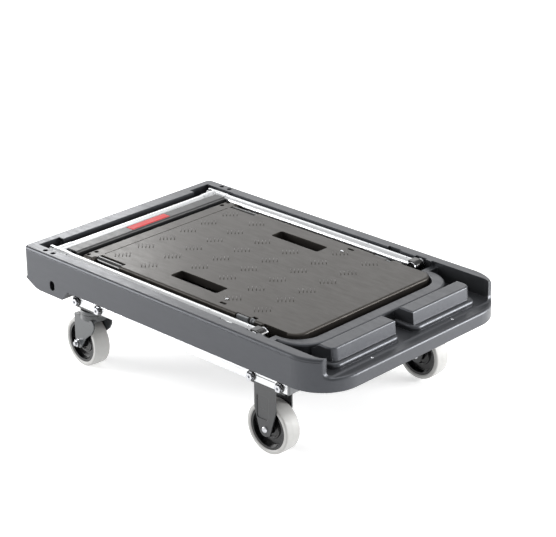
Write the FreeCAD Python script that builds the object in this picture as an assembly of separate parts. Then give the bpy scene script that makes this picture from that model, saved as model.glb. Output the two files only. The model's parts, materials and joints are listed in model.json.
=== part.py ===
import FreeCAD, Part
import math
import os
from FreeCAD import Vector

# Folding two-deck shopping cart, folded flat, in millimetres.
# +X runs from the grip end of the folded handle to the end where the handle is hinged.
# -Y is the left side for a person who pushes the open cart, and +Z is up from the floor.
# The origin lies on the floor, under the middle of the cart.

# ---------------------------------------------------------------- driving dimensions
LENGTH = 793.0
WIDTH = 500.0
WHEEL_DIAMETER = 100.0
WHEEL_WIDTH = 35.0

# Heights above the floor
CASTER_HEADROOM = 37.0      # rails' underside above the wheels' top
RAIL_HEIGHT = 18.0
SKIRT_LIFT = 15.0           # skirt edge above the rails' top
SKIRT_TO_FLOOR = 20.0       # tray floor above the skirt edge
SHELF_DROP = 36.0           # rim above the end shelf
STRUT_TO_FLOOR = 3.0        # folded struts above the tray floor
DAM_DROP = 10.0             # rim above the dam that closes the tray

# Lower deck moulding
SKIN = 4.0
RIM_SIDE = 25.5
RIM_GRIP = 32.0
HINGE_CORNER_R = 80.0
GRIP_CORNER_R = 12.0
RIM_EDGE_R = 5.0
CHANNEL_END = 167.0         # end of the handle channel, from the hinge end
TRAY_END = 114.5            # end of the tray, from the hinge end
TRAY_CORNER_R = 48.0
TRAY_TO_DECK = 4.0          # tray side wall outside the upper deck's edge
DAM_WIDTH = 28.5
DAM_SIDE_WIDTH = 16.0
DAM_ROUND = 5.0
MOAT_CORNER_R = 22.0
END_WALL = 22.0
WALL_STOP = 26.0            # where the side walls stop, from the hinge end
FOOT_LENGTH = 127.0
FOOT_DEPTH = 60.0
FOOT_DROP = 20.0
SEAM_DROP = 6.5             # seam line in the side walls, below the rim
SEAM = 0.8
RECESS_INSET = 20.0         # recess in the rim for each corner casting, from the grip end
RECESS_GAP = 2.0
RIB = 3.0
RIB_DEPTH = 14.0
DECK_RIB_DEPTH = 10.0       # upper deck's ribs, below its surface

# Blocks on the end shelf
BLOCK_BACK = 90.0
BLOCK_TOP_BACK = 72.0
BLOCK_TOP_FRONT = 42.0
BLOCK_FOOT = 31.0
BLOCK_STEP = 25.0
BLOCK_FOOT_SIDE = 6.0
BLOCK_GAP = 48.0
BLOCK_SIDE = 63.0
SHELF_HOLE_R = 2.5
SHELF_HOLE_INSET = 22.0
SHELF_HOLE_SPACING = 218.0

# Side rails
RAIL_SIDE = 22.0
RAIL_WIDTH = 28.0
RAIL_WALL = 2.0
RAIL_GRIP_INSET = 118.0
RAIL_HINGE_INSET = 109.0
END_CAP = 2.0
END_CAP_LONG = 5.0
CROSS_MEMBER = 25.0
CROSS_MEMBER_HEIGHT = 14.0

# Casters
FIXED_INSET = 165.0         # fixed wheel centre, from the hinge end
FIXED_SIDE = 44.8
FIXED_BOLT_SPACING = 69.0
FIXED_BOLT_SHIFT = 3.5
FIXED_LEG_WIDTH = 51.5
FIXED_LEG_STRAIGHT = 50.0   # upright part of the leg's edges
FIXED_TIP_R = 14.0
PRESSING_WIDTH = 29.0
PRESSING_HEIGHT = 46.0
PRESSING_DROP = 22.0        # top of the pressing in the fixed fork's leg, below the rail
PRESSING_SIDE = 6.0
PRESSING_DEPTH = 1.2
SWIVEL_INSET = 140.5        # king pin, from the grip end
SWIVEL_SIDE = 53.0
SWIVEL_TRAIL = 25.0
SWIVEL_YAW = -6.0
SWIVEL_BOLT_SPACING = 62.0
SWIVEL_BOLT_SHIFT = 18.5
SWIVEL_TIP_R = 11.0
PLATE = 3.0
WHEEL_GAP = 1.5
AXLE_R = 4.0
HOLE_PLAY = 0.05
TYRE_THICKNESS = 9.0
TYRE_EDGE_R = 4.0
NECK_R = 26.5
KING_PIN_R = 5.0
RIVET_DOME = 3.2
RIVET_DOME_R = 6.2
BOLT_R = 4.0
BOLT_PLAY = 0.2
BOLT_HEAD = 5.4
BOLT_FLATS = 13.0
SOCKET_FLATS = 5.0
WASHER_R = 7.8
WASHER = 1.6
NUT = 6.5

# Handle
TUBE_R = 11.0
TUBE_WALL = 1.3
INNER_TUBE_PLAY = 0.5       # bush wall between the two tubes
INNER_TUBE_WALL = 1.4
LEG_TO_RIM = 2.0
TUBE_COVER = 1.0            # rim above the folded tubes' top
HANDLE_HINGE_INSET = 193.0
CROSSBAR_INSET = 57.0
CORNER_WALL = 1.5
CORNER_LEG = 35.0
CORNER_BAR = 36.5
CORNER_EAR = 21.5
CORNER_EAR_R = 8.0
GRIP_BAR_GAP = 0.5
GRIP_BAR_WIDTH = 29.5
GRIP_BAR_HEIGHT = 26.5
BUTTON_LENGTH = 100.0
HANDLE_PIN_R = 4.0

# Upper deck and its scissor lift
DECK_TOP_DROP = 4.0         # deck surface below the rim
DECK_DEPTH = 20.0
DECK_PLATE = 4.0
DECK_WALL = 3.0
DECK_TO_STRUT = 2.2
DECK_EAR_LENGTH = 32.0
DECK_TO_GRIP = 10.5
DECK_END_GAP = 12.0
DECK_GRIP_R = 7.0
DECK_EDGE_R = 4.5
DECK_CORNER_R = 28.0
HAND_SLOT_LENGTH = 123.0
HAND_SLOT_WIDTH = 31.0
HAND_SLOT_SIDE = 100.0
HAND_SLOT_SHIFT = -18.5
HAND_SLOT_R = 4.5
LATCH_SLOT_SIDE = 78.4
LATCH_SLOT_INSET = 322.0
LATCH_SLOT_LENGTH = 16.0
LATCH_SLOT_R = 3.2
STRUT_HEIGHT = 14.0
STRUT = 4.0
STRUT_TO_LEG = 1.3
STRUT_GAP = 1.0
STRUT_PIVOT_INSET = 217.0
STRUT_END_INSET = 146.0
STRUT_PIN_R = 4.0
GLIDE_R = 7.5
PLAY = 0.3

# ---------------------------------------------------------------- worked-out places
GRIP_END = -LENGTH / 2.0
HINGE_END = LENGTH / 2.0
HALF = WIDTH / 2.0
WHEEL_R = WHEEL_DIAMETER / 2.0
INNER_TUBE_R = TUBE_R - TUBE_WALL - INNER_TUBE_PLAY
CORNER_R = TUBE_R + CORNER_WALL
LEG_SIDE = RIM_SIDE + LEG_TO_RIM + TUBE_R
STRUT_SIDE = LEG_SIDE + TUBE_R + STRUT_TO_LEG
DECK_SIDE = STRUT_SIDE + STRUT + STRUT_GAP + STRUT + DECK_TO_STRUT
DECK_EAR_SIDE = LEG_SIDE + CORNER_R + 1.0
DECK_GRIP_INSET = CROSSBAR_INSET + CORNER_R + GRIP_BAR_GAP + GRIP_BAR_WIDTH + DECK_TO_GRIP
TRAY_SIDE = DECK_SIDE - TRAY_TO_DECK
DAM_SIDE = TRAY_SIDE - DAM_SIDE_WIDTH
TRAY_DEPTH = DECK_TOP_DROP + DECK_DEPTH + GLIDE_R + 0.5 + STRUT_HEIGHT / 2.0 + STRUT_TO_FLOOR
RAIL_BOTTOM = WHEEL_DIAMETER + CASTER_HEADROOM
RAIL_TOP = RAIL_BOTTOM + RAIL_HEIGHT
SKIRT = RAIL_TOP + SKIRT_LIFT
TRAY_FLOOR = SKIRT + SKIRT_TO_FLOOR
RIM = TRAY_FLOOR + TRAY_DEPTH
SHELF = RIM - SHELF_DROP
DAM = RIM - DAM_DROP
TUBE_Z = RIM - TUBE_COVER - TUBE_R
DECK_TOP = RIM - DECK_TOP_DROP
DECK_BOTTOM = DECK_TOP - DECK_DEPTH
STRUT_Z = DECK_BOTTOM - GLIDE_R - 0.5
HANDLE_X = HINGE_END - HANDLE_HINGE_INSET
CROSSBAR_X = GRIP_END + CROSSBAR_INSET
PIVOT_X = HINGE_END - STRUT_PIVOT_INSET
STRUT_END_X = GRIP_END + STRUT_END_INSET
STRUT_LENGTH = PIVOT_X - STRUT_END_X
FIXED_X = HINGE_END - FIXED_INSET
SWIVEL_X = GRIP_END + SWIVEL_INSET
CASTER_TOP = RAIL_BOTTOM
ABOVE = RIM + 60.0
X_AXIS = Vector(1, 0, 0)
Y_AXIS = Vector(0, 1, 0)
Z_AXIS = Vector(0, 0, 1)


# ---------------------------------------------------------------- small helpers
def left(inset):
    """Y of a place that lies this far in from the left side."""
    return -HALF + inset


def box(x0, x1, y0, y1, z0, z1):
    return Part.makeBox(x1 - x0, y1 - y0, z1 - z0, Vector(x0, y0, z0))


def rod(x, y, z, axis, radius, length):
    return Part.makeCylinder(radius, length, Vector(x, y, z), axis)


def ring(x, y, z, axis, outer, inner, length):
    return rod(x, y, z, axis, outer, length).cut(rod(x, y, z, axis, inner, length))


def mirrored(shape):
    return shape.mirror(Vector(0, 0, 0), Y_AXIS)


def fuse(shapes):
    whole = shapes[0]
    if len(shapes) > 1:
        whole = whole.multiFuse(shapes[1:])
    return whole.removeSplitter()


def plan(x0, x1, half, grip_r, hinge_r, z0, z1):
    """Upright prism, symmetric about the XZ plane, with two sizes of rounded corner."""
    def arc(cx, cy, r, start):
        middle = math.radians(start + 45)
        a = Vector(cx + r * math.cos(math.radians(start)), cy + r * math.sin(math.radians(start)), z0)
        b = Vector(cx + r * math.cos(middle), cy + r * math.sin(middle), z0)
        end = math.radians(start + 90)
        c = Vector(cx + r * math.cos(end), cy + r * math.sin(end), z0)
        return Part.Arc(a, b, c).toShape(), a, c

    corners = [
        arc(x1 - hinge_r, half - hinge_r, hinge_r, 0),
        arc(x0 + grip_r, half - grip_r, grip_r, 90),
        arc(x0 + grip_r, grip_r - half, grip_r, 180),
        arc(x1 - hinge_r, hinge_r - half, hinge_r, 270),
    ]
    edges = []
    for number, corner in enumerate(corners):
        following = corners[(number + 1) % len(corners)]
        edges.append(corner[0])
        edges.append(Part.makeLine(corner[2], following[1]))
    return Part.Face(Part.Wire(edges)).extrude(Vector(0, 0, z1 - z0))


def profile_xz(points, y0, y1):
    corners = [Vector(x, y0, z) for x, z in points]
    return Part.Face(Part.makePolygon(corners + corners[:1])).extrude(Vector(0, y1 - y0, 0))


def round_edges(shape, radius, wanted):
    edges = [edge for edge in shape.Edges if wanted(edge)]
    return shape.makeFillet(radius, edges)


def flat_at(z):
    def wanted(edge):
        bounds = edge.BoundBox
        return abs(bounds.ZMin - z) < 0.01 and abs(bounds.ZMax - z) < 0.01
    return wanted


def hexagon(x, y, z, flats, length):
    """Hexagonal prism along +Y with its first face centre at (x, y, z)."""
    radius = flats / math.sqrt(3.0)
    corners = []
    for step in range(6):
        turn = math.radians(60 * step)
        corners.append(Vector(x + radius * math.cos(turn), y, z + radius * math.sin(turn)))
    return Part.Face(Part.makePolygon(corners + corners[:1])).extrude(Vector(0, length, 0))


def turned(points, axis_point):
    """Solid of revolution about Y: points are (distance from the axis, place along Y)."""
    corners = [Vector(axis_point.x + r, axis_point.y + y, axis_point.z) for r, y in points]
    face = Part.Face(Part.makePolygon(corners + corners[:1]))
    return face.revolve(axis_point, Y_AXIS, 360)


# ---------------------------------------------------------------- lower deck
def outer_form():
    """Whole outside of the tub: rim, end lip and the two feet at the grip end."""
    body = plan(GRIP_END, HINGE_END, HALF, GRIP_CORNER_R, HINGE_CORNER_R, SKIRT, RIM)
    stop = HINGE_END - WALL_STOP
    drop = box(stop, HINGE_END + 1, -HALF - 1, HALF + 1, SHELF, ABOVE)
    drop = round_edges(drop, 10.0, lambda e: flat_at(SHELF)(e) and abs(e.BoundBox.XMax - stop) < 0.01)
    body = body.cut(drop)

    def outside_top(edge):
        bounds = edge.BoundBox
        if bounds.ZMin < SHELF - 0.01:
            return False
        middle = edge.valueAt((edge.FirstParameter + edge.LastParameter) / 2.0)
        inner = abs(middle.y) < HALF - HINGE_CORNER_R and middle.x < HINGE_END - 1
        return not (inner and middle.x > GRIP_END + 1)

    body = round_edges(body, RIM_EDGE_R, outside_top)
    seam_z = RIM - SEAM_DROP
    seam = plan(GRIP_END - 1.0, stop, HALF + 1.0, GRIP_CORNER_R, 1.0, seam_z, seam_z + SEAM)
    body = body.cut(seam.cut(plan(GRIP_END + 0.6, HINGE_END, HALF - 0.6, GRIP_CORNER_R, HINGE_CORNER_R,
                                  seam_z - 1.0, seam_z + 2.0)))
    foot_start = GRIP_END + 5.0
    foot_end = GRIP_END + FOOT_LENGTH
    foot = profile_xz(
        [
            (foot_start, SKIRT), (foot_start, SKIRT - 4.0), (foot_start + 28.0, SKIRT - 18.0),
            (foot_start + 40.0, SKIRT - FOOT_DROP), (foot_end - 16.0, SKIRT - FOOT_DROP),
            (foot_end, SKIRT - 2.0), (foot_end, SKIRT),
        ],
        -HALF, -HALF + FOOT_DEPTH,
    )
    return fuse([body, foot, mirrored(foot)])


def tray_form(z0):
    """Open space of the tray and of the channel that the folded handle lies in."""
    channel_stop = HINGE_END - CHANNEL_END
    channel = plan(GRIP_END + RIM_GRIP, channel_stop, HALF - RIM_SIDE, 6.0, 3.0, z0, ABOVE)
    bay = plan(0.0, HINGE_END - TRAY_END, HALF - TRAY_SIDE, 3.0, TRAY_CORNER_R, z0, ABOVE)
    notches = [corner_recess(0.0, z0, ABOVE)]
    for start, end in ((PIVOT_X - 57.0, PIVOT_X - 27.0), (HANDLE_X - 13.0, HANDLE_X + 13.0)):
        notches.append(box(start, end, left(21.0), left(RIM_SIDE + 1.0), z0, ABOVE))
    notches += [mirrored(notch) for notch in notches]
    return fuse([channel, bay] + notches)


def corner_recess(grow, z0, z1):
    """Space in the rim round a corner casting, or with grow the block that it is cut from."""
    return box(GRIP_END + RECESS_INSET - grow, CROSSBAR_X + CORNER_LEG + 4.0,
               left(LEG_SIDE - CORNER_R - RECESS_GAP - grow), left(LEG_SIDE + CORNER_BAR), z0, z1)


def dam_form(grow, z0, z1):
    reach = HINGE_END - TRAY_END + DAM_WIDTH - grow
    return plan(0.0, reach, HALF - DAM_SIDE - grow, 3.0, TRAY_CORNER_R + DAM_WIDTH / 2.0 - grow, z0, z1)


def blocks(grow):
    """The two upstand blocks on the end shelf, or with grow their hollows."""
    top = RIM - grow
    y0 = left(BLOCK_SIDE) + grow
    y1 = -BLOCK_GAP / 2.0 - grow
    shape = profile_xz(
        [
            (HINGE_END - BLOCK_BACK + grow, SHELF - 5.0), (HINGE_END - BLOCK_BACK + grow, DAM - 3.0 - grow),
            (HINGE_END - BLOCK_TOP_BACK + grow, top), (HINGE_END - BLOCK_TOP_FRONT - grow, top),
            (HINGE_END - BLOCK_TOP_FRONT + 4.0 - grow, SHELF - 5.0),
        ],
        y0, y1,
    )
    if grow == 0.0:
        def outer_front(edge):
            bounds = edge.BoundBox
            upright = bounds.ZLength > 3.0 and bounds.XMin > HINGE_END - BLOCK_TOP_FRONT - 1.0
            return upright and bounds.YMax < -HALF + BLOCK_SIDE + 1.0
        shape = round_edges(shape, 14.0, outer_front)
        shape = round_edges(shape, 3.0, flat_at(RIM))
        foot_top = RIM - BLOCK_STEP
        foot = box(HINGE_END - BLOCK_BACK + 8.0, HINGE_END - BLOCK_FOOT, y0 - BLOCK_FOOT_SIDE,
                   y1 + BLOCK_FOOT_SIDE, SHELF - 1.0, foot_top)
        foot_back = HINGE_END - BLOCK_BACK + 9.0
        foot = round_edges(foot, 16.0, lambda e: e.BoundBox.ZLength > 3.0 and e.BoundBox.XMin > foot_back)
        foot = round_edges(foot, 6.0, lambda e: flat_at(foot_top)(e) and e.BoundBox.XMax > foot_back)
        shape = fuse([shape, foot])
    return [shape, mirrored(shape)]


def dam_edge(edge):
    """Whether this is one of the dam's two long top edges."""
    bounds = edge.BoundBox
    middle = edge.valueAt((edge.FirstParameter + edge.LastParameter) / 2.0)
    past = middle.x > HINGE_END - CHANNEL_END + SKIN + 10.0
    inside = bounds.XMax < HINGE_END - END_WALL - 5.0 and abs(middle.y) < HALF - END_WALL - 3.0
    return flat_at(DAM)(edge) and past and inside


def lower_deck():
    body = outer_form()
    body = body.cut(tray_form(TRAY_FLOOR))
    # moat round the dam, open towards the end shelf
    moat_start = HINGE_END - CHANNEL_END + SKIN + 9.0
    moat = plan(moat_start, HINGE_END - END_WALL, HALF - END_WALL, 3.0, MOAT_CORNER_R, SHELF, DAM)
    moat = moat.cut(dam_form(0.0, SHELF - 1.0, DAM + 1.0))
    lowered = plan(moat_start - SKIN - 9.0, HINGE_END - END_WALL, HALF - END_WALL, 3.0,
                   MOAT_CORNER_R, DAM, ABOVE)
    body = body.cut(moat).cut(lowered)
    body = round_edges(body, DAM_ROUND, dam_edge)
    body = fuse([body] + blocks(0.0))
    # hollow underneath
    inside = plan(GRIP_END + SKIN, HINGE_END - SKIN, HALF - SKIN, GRIP_CORNER_R - SKIN,
                  HINGE_CORNER_R - SKIN, SKIRT - FOOT_DROP - 1.0, TRAY_FLOOR - SKIN)
    foot_skin = profile_xz(
        [
            (GRIP_END, SKIRT - 40.0), (GRIP_END + FOOT_LENGTH, SKIRT - 40.0),
            (GRIP_END + FOOT_LENGTH, SKIRT), (GRIP_END + FOOT_LENGTH - SKIN, SKIRT),
            (GRIP_END + FOOT_LENGTH - 16.0 - SKIN, SKIRT - FOOT_DROP + SKIN),
            (GRIP_END + 47.0, SKIRT - FOOT_DROP + SKIN), (GRIP_END + 35.0, SKIRT - 18.0 + SKIN),
            (GRIP_END + 5.0 + SKIN, SKIRT), (GRIP_END, SKIRT),
        ],
        -HALF, HALF,
    )
    foot_inner = box(GRIP_END, GRIP_END + FOOT_LENGTH, -HALF + FOOT_DEPTH - SKIN, -HALF + FOOT_DEPTH,
                     SKIRT - FOOT_DROP - 2.0, SKIRT)
    body = body.cut(inside.cut(foot_skin).cut(foot_inner).cut(mirrored(foot_inner)))
    rim_hollow = plan(GRIP_END + SKIN, HINGE_END - CHANNEL_END, HALF - SKIN, GRIP_CORNER_R - SKIN,
                      3.0, TRAY_FLOOR - SKIN - 1.0, RIM - SKIN)
    rim_inner = plan(GRIP_END + RIM_GRIP - SKIN, HINGE_END - CHANNEL_END + SKIN, HALF - 17.0,
                     3.0, 3.0, TRAY_FLOOR - SKIN - 1.0, RIM)
    castings = [corner_recess(SKIN, TRAY_FLOOR - SKIN, RIM)]
    castings += [mirrored(castings[0])]
    body = body.cut(rim_hollow.cut(rim_inner).cut(fuse(castings)))
    shelf_hollow = plan(HINGE_END - CHANNEL_END + 2.0 * SKIN, HINGE_END - SKIN, HALF - SKIN, 3.0,
                        HINGE_CORNER_R - SKIN, TRAY_FLOOR - SKIN - 1.0, SHELF - SKIN)
    bay_skin = plan(-1.0, HINGE_END - TRAY_END + SKIN, HALF - TRAY_SIDE + SKIN, 3.0,
                    TRAY_CORNER_R + SKIN, TRAY_FLOOR - SKIN - 2.0, RIM)
    body = body.cut(shelf_hollow.cut(bay_skin))
    dam_hollow = dam_form(SKIN, TRAY_FLOOR - SKIN - 1.0, DAM - SKIN)
    clear = box(-1.0, HINGE_END - CHANNEL_END + 2.0 * SKIN, -HALF, HALF, SKIRT, ABOVE)
    body = body.cut(dam_hollow.cut(bay_skin).cut(clear))
    for hollow in blocks(SKIN):
        body = body.cut(hollow)
    body = fuse([body] + under_ribs() + strut_tracks())
    return body.cut(fuse(deck_holes()))


def under_ribs():
    """Ribs under the tray floor, and the deeper ones that stand on the side rails."""
    ribs = []
    top = TRAY_FLOOR - SKIN + 0.5
    seat_start = GRIP_END + RAIL_GRIP_INSET + 6.0
    seat_end = HINGE_END - RAIL_HINGE_INSET - 6.0
    for inset in (RAIL_SIDE + 2.0, RAIL_SIDE + RAIL_WIDTH - 2.0 - RIB):
        seat = box(seat_start, seat_end, left(inset), left(inset + RIB), RAIL_TOP, top)
        ribs += [seat, mirrored(seat)]
    for inset in (95.0, 160.0):
        rib = box(GRIP_END + SKIN, HINGE_END - TRAY_END, left(inset), left(inset) + RIB, top - RIB_DEPTH, top)
        ribs += [rib, mirrored(rib)]
    ribs.append(box(GRIP_END + SKIN, HINGE_END - TRAY_END, -RIB / 2.0, RIB / 2.0, top - RIB_DEPTH, top))
    count = max(4, int(round((LENGTH - TRAY_END - FOOT_LENGTH) / 92.0)))
    for number in range(count):
        x = GRIP_END + FOOT_LENGTH + 12.0 + number * (LENGTH - TRAY_END - FOOT_LENGTH - 16.0) / (count - 1)
        ribs.append(box(x, x + RIB, left(RAIL_SIDE + 2.0), -left(RAIL_SIDE + 2.0), top - RIB_DEPTH, top))
    return ribs


def strut_tracks():
    """Two raised tracks on the tray floor that the floor rollers run on."""
    start = STRUT_END_X - 2.0 * GLIDE_R
    end = PIVOT_X - 0.45 * STRUT_LENGTH
    y = left(STRUT_SIDE + STRUT + STRUT_GAP)
    track = box(start, end, y - 0.6, y + STRUT + 1.0, TRAY_FLOOR - 1.0, STRUT_Z - GLIDE_R - PLAY)
    return [track, mirrored(track)]


def deck_holes():
    holes = []
    for inset in (52.3, 74.4):
        holes.append(rod(GRIP_END + inset, left(13.6), RIM - SKIN - 6.0, Z_AXIS, 5.0, 20.0))
    slot_x = GRIP_END + 83.0
    low = rod(slot_x, -HALF - 1.0, SKIRT - 2.0, Y_AXIS, 7.0, SKIN + 1.5)
    high = rod(slot_x, -HALF - 1.0, SKIRT + 4.0, Y_AXIS, 7.0, SKIN + 1.5)
    middle = box(slot_x - 7.0, slot_x + 7.0, -HALF - 1.0, -HALF + SKIN + 0.5, SKIRT - 2.0, SKIRT + 4.0)
    holes.append(fuse([low, high, middle]))
    holes.append(rod(HINGE_END - SHELF_HOLE_INSET, -SHELF_HOLE_SPACING / 2.0, SHELF - SKIN - 1.0, Z_AXIS,
                     SHELF_HOLE_R, SKIN + 2.0))
    for x in screw_places():
        holes.append(rod(x, left(RAIL_SIDE + RAIL_WIDTH / 2.0), TRAY_FLOOR - SKIN - 1.0, Z_AXIS,
                         2.2, SKIN + 2.0))
    return holes + [mirrored(hole) for hole in holes]


def screw_places():
    start = GRIP_END + RAIL_GRIP_INSET + 100.0
    end = HINGE_END - RAIL_HINGE_INSET - 130.0
    return [start, (start + end) / 2.0, end]


# ---------------------------------------------------------------- rails and what bolts to them
def rail():
    x0 = GRIP_END + RAIL_GRIP_INSET
    x1 = HINGE_END - RAIL_HINGE_INSET
    y0 = left(RAIL_SIDE)
    y1 = y0 + RAIL_WIDTH
    outer = box(x0, x1, y0, y1, RAIL_BOTTOM, RAIL_TOP)
    outer = outer.makeFillet(1.2, [e for e in outer.Edges if e.BoundBox.XLength > 1.0])
    body = outer.cut(box(x0 - 1, x1 + 1, y0 + RAIL_WALL, y1 - RAIL_WALL,
                         RAIL_BOTTOM + RAIL_WALL, RAIL_TOP - RAIL_WALL))
    groove = box(x0 - 1, x1 + 1, y0 - 1.0, y0 + 0.6, RAIL_TOP - 5.2, RAIL_TOP - 3.8)
    body = body.cut(groove)
    for x in rail_bolt_places():
        body = body.cut(rod(x, y0 - 1, bolt_z(), Y_AXIS, BOLT_R + BOLT_PLAY, RAIL_WIDTH + 2))
    for x in screw_places():
        body = body.cut(rod(x, y0 + RAIL_WIDTH / 2.0, RAIL_BOTTOM - 1, Z_AXIS, 2.2, RAIL_HEIGHT + 2))
        body = body.cut(rod(x, y0 + RAIL_WIDTH / 2.0, RAIL_BOTTOM - 1, Z_AXIS, 5.0, RAIL_WALL + 2))
    return body


def bolt_z():
    return RAIL_BOTTOM + RAIL_HEIGHT / 2.0 - 0.5


def rail_bolt_places():
    places = []
    for step in (-0.5, 0.5):
        places.append(SWIVEL_X + SWIVEL_BOLT_SHIFT + step * SWIVEL_BOLT_SPACING)
        places.append(FIXED_X + FIXED_BOLT_SHIFT + step * FIXED_BOLT_SPACING)
    return sorted(places)


def rail_end_caps():
    y0 = left(RAIL_SIDE)
    caps = []
    ends = ((GRIP_END + RAIL_GRIP_INSET, -1, END_CAP), (HINGE_END - RAIL_HINGE_INSET, 1, END_CAP_LONG))
    for x, out, reach in ends:
        outer_x = x + out * reach
        flange = box(min(x, outer_x), max(x, outer_x), y0, y0 + RAIL_WIDTH, RAIL_BOTTOM, RAIL_TOP)
        outer_edges = [e for e in flange.Edges if abs(e.CenterOfMass.x - outer_x) < 0.01]
        flange = flange.makeFillet(0.6 * reach, outer_edges)
        plug = box(min(x, x - out * END_CAP), max(x, x - out * END_CAP), y0 + RAIL_WALL + 0.1,
                   y0 + RAIL_WIDTH - RAIL_WALL - 0.1, RAIL_BOTTOM + RAIL_WALL + 0.1,
                   RAIL_TOP - RAIL_WALL - 0.1)
        cap = fuse([flange, plug])
        caps += [cap, mirrored(cap)]
    return Part.makeCompound(caps)


def cross_members():
    members = []
    reach = -left(RAIL_SIDE + RAIL_WIDTH)
    for x in (SWIVEL_X + 92.0, FIXED_X - 92.0):
        low = RAIL_BOTTOM + 2.0
        outer = box(x, x + CROSS_MEMBER, -reach, reach, low, low + CROSS_MEMBER_HEIGHT)
        inner = box(x + 1.5, x + CROSS_MEMBER - 1.5, -reach - 1, reach + 1, low + 1.5,
                    low + CROSS_MEMBER_HEIGHT - 1.5)
        members.append(outer.cut(inner))
    return Part.makeCompound(members)


def rail_bolts():
    bolts = []
    y0 = left(RAIL_SIDE)
    length = RAIL_WIDTH + PLATE + NUT + 3.0
    for x in rail_bolt_places():
        washer = rod(x, y0 - WASHER, bolt_z(), Y_AXIS, WASHER_R, WASHER)
        head = hexagon(x, y0 - WASHER - BOLT_HEAD, bolt_z(), BOLT_FLATS, BOLT_HEAD)
        head = head.common(rod(x, y0 - WASHER - BOLT_HEAD, bolt_z(), Y_AXIS, BOLT_FLATS * 0.56, BOLT_HEAD))
        shank = rod(x, y0 - WASHER, bolt_z(), Y_AXIS, BOLT_R, length + WASHER)
        bolt = fuse([washer, head, shank])
        bolt = bolt.cut(hexagon(x, y0 - WASHER - BOLT_HEAD - 1.0, bolt_z(), SOCKET_FLATS, BOLT_HEAD - 1.0))
        bolts += [bolt, mirrored(bolt)]
    return Part.makeCompound(bolts)


def rail_nuts():
    nuts = []
    y = left(RAIL_SIDE + RAIL_WIDTH + PLATE)
    for x in rail_bolt_places():
        nut = hexagon(x, y, bolt_z(), BOLT_FLATS, NUT)
        nut = nut.cut(rod(x, y - 1, bolt_z(), Y_AXIS, BOLT_R + 0.02, NUT + 2))
        nuts += [nut, mirrored(nut)]
    return Part.makeCompound(nuts)


def deck_screws():
    screws = []
    for x in screw_places():
        y = left(RAIL_SIDE + RAIL_WIDTH / 2.0)
        head = rod(x, y, RAIL_BOTTOM + RAIL_WALL, Z_AXIS, 4.5, 2.5)
        head = head.cut(rod(x, y, RAIL_BOTTOM + RAIL_WALL - 1, Z_AXIS, 1.6, 2.4))
        shank = rod(x, y, RAIL_BOTTOM + RAIL_WALL + 2.0, Z_AXIS, 2.1, TRAY_FLOOR - 1.0 - RAIL_BOTTOM - 4.0)
        screws += [fuse([head, shank]), mirrored(fuse([head, shank]))]
    return Part.makeCompound(screws)


def bolted_flange(x, spacing):
    """Upstand against the rail's inner face, with the two rail bolts through it."""
    y = left(RAIL_SIDE + RAIL_WIDTH)
    reach = spacing / 2.0 + 10.0
    flange = box(x - reach, x + reach, y, y + PLATE, CASTER_TOP - PLATE, RAIL_TOP - 2.0)
    for step in (-0.5, 0.5):
        flange = flange.cut(rod(x + step * spacing, y - 1, bolt_z(), Y_AXIS, BOLT_R + BOLT_PLAY, PLATE + 2))
    return flange


def leg_plate(points, axle_x, axle_z, y0, thickness, tip_r):
    """Flat leg whose tip is round about the axle."""
    corners = [Vector(x, y0, z) for x, z in points]
    face = Part.Face(Part.makePolygon(corners + corners[:1]))
    tip = rod(axle_x, y0, axle_z, Y_AXIS, tip_r, thickness)
    return fuse([face.extrude(Vector(0, thickness, 0)), tip])


def tangent_points(from_x, from_z, axle_x, axle_z, radius, side):
    """Point where a line from a corner touches the round tip, on the given side."""
    dx = axle_x - from_x
    dz = axle_z - from_z
    distance = math.hypot(dx, dz)
    heading = math.atan2(dz, dx)
    spread = math.asin(radius / distance)
    reach = math.sqrt(distance ** 2 - radius ** 2)
    turn = heading + side * spread
    return (from_x + reach * math.cos(turn), from_z + reach * math.sin(turn))


def fixed_fork():
    half = WHEEL_WIDTH / 2.0 + WHEEL_GAP
    y = left(FIXED_SIDE)
    top = CASTER_TOP
    wide = FIXED_LEG_WIDTH / 2.0
    shoulder = top - FIXED_LEG_STRAIGHT
    front_touch = tangent_points(FIXED_X + wide, shoulder, FIXED_X, WHEEL_R, FIXED_TIP_R, 1)
    back_touch = tangent_points(FIXED_X - wide, shoulder, FIXED_X, WHEEL_R, FIXED_TIP_R, -1)
    outline = [(FIXED_X - wide, top), (FIXED_X + wide, top), (FIXED_X + wide, shoulder), front_touch,
               back_touch, (FIXED_X - wide, shoulder)]
    pieces = []
    for y0 in (y - half - PLATE, y + half):
        pieces.append(leg_plate(outline, FIXED_X, WHEEL_R, y0, PLATE, FIXED_TIP_R))
    bolts_x = FIXED_X + FIXED_BOLT_SHIFT
    reach = FIXED_BOLT_SPACING / 2.0 + 10.0
    pieces.append(box(FIXED_X - wide, FIXED_X + wide, y - half - PLATE, y + half + PLATE, top - PLATE, top))
    pieces.append(box(bolts_x - reach, bolts_x + reach, left(RAIL_SIDE), y + half + PLATE, top - PLATE, top))
    fork = fuse(pieces + [bolted_flange(bolts_x, FIXED_BOLT_SPACING)])
    fork = fork.cut(rod(FIXED_X, y - half - PLATE - 1, WHEEL_R, Y_AXIS, AXLE_R + HOLE_PLAY,
                        2.0 * (half + PLATE) + 2))
    press_x = FIXED_X - wide + PRESSING_SIDE
    press_top = top - PRESSING_DROP
    press = box(press_x, press_x + PRESSING_WIDTH, y - half - PLATE - 1.0,
                y - half - PLATE + PRESSING_DEPTH, press_top - PRESSING_HEIGHT, press_top)
    press = press.makeFillet(4.5, [e for e in press.Edges if e.BoundBox.YLength > 1.0])
    return fork.cut(press)


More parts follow.
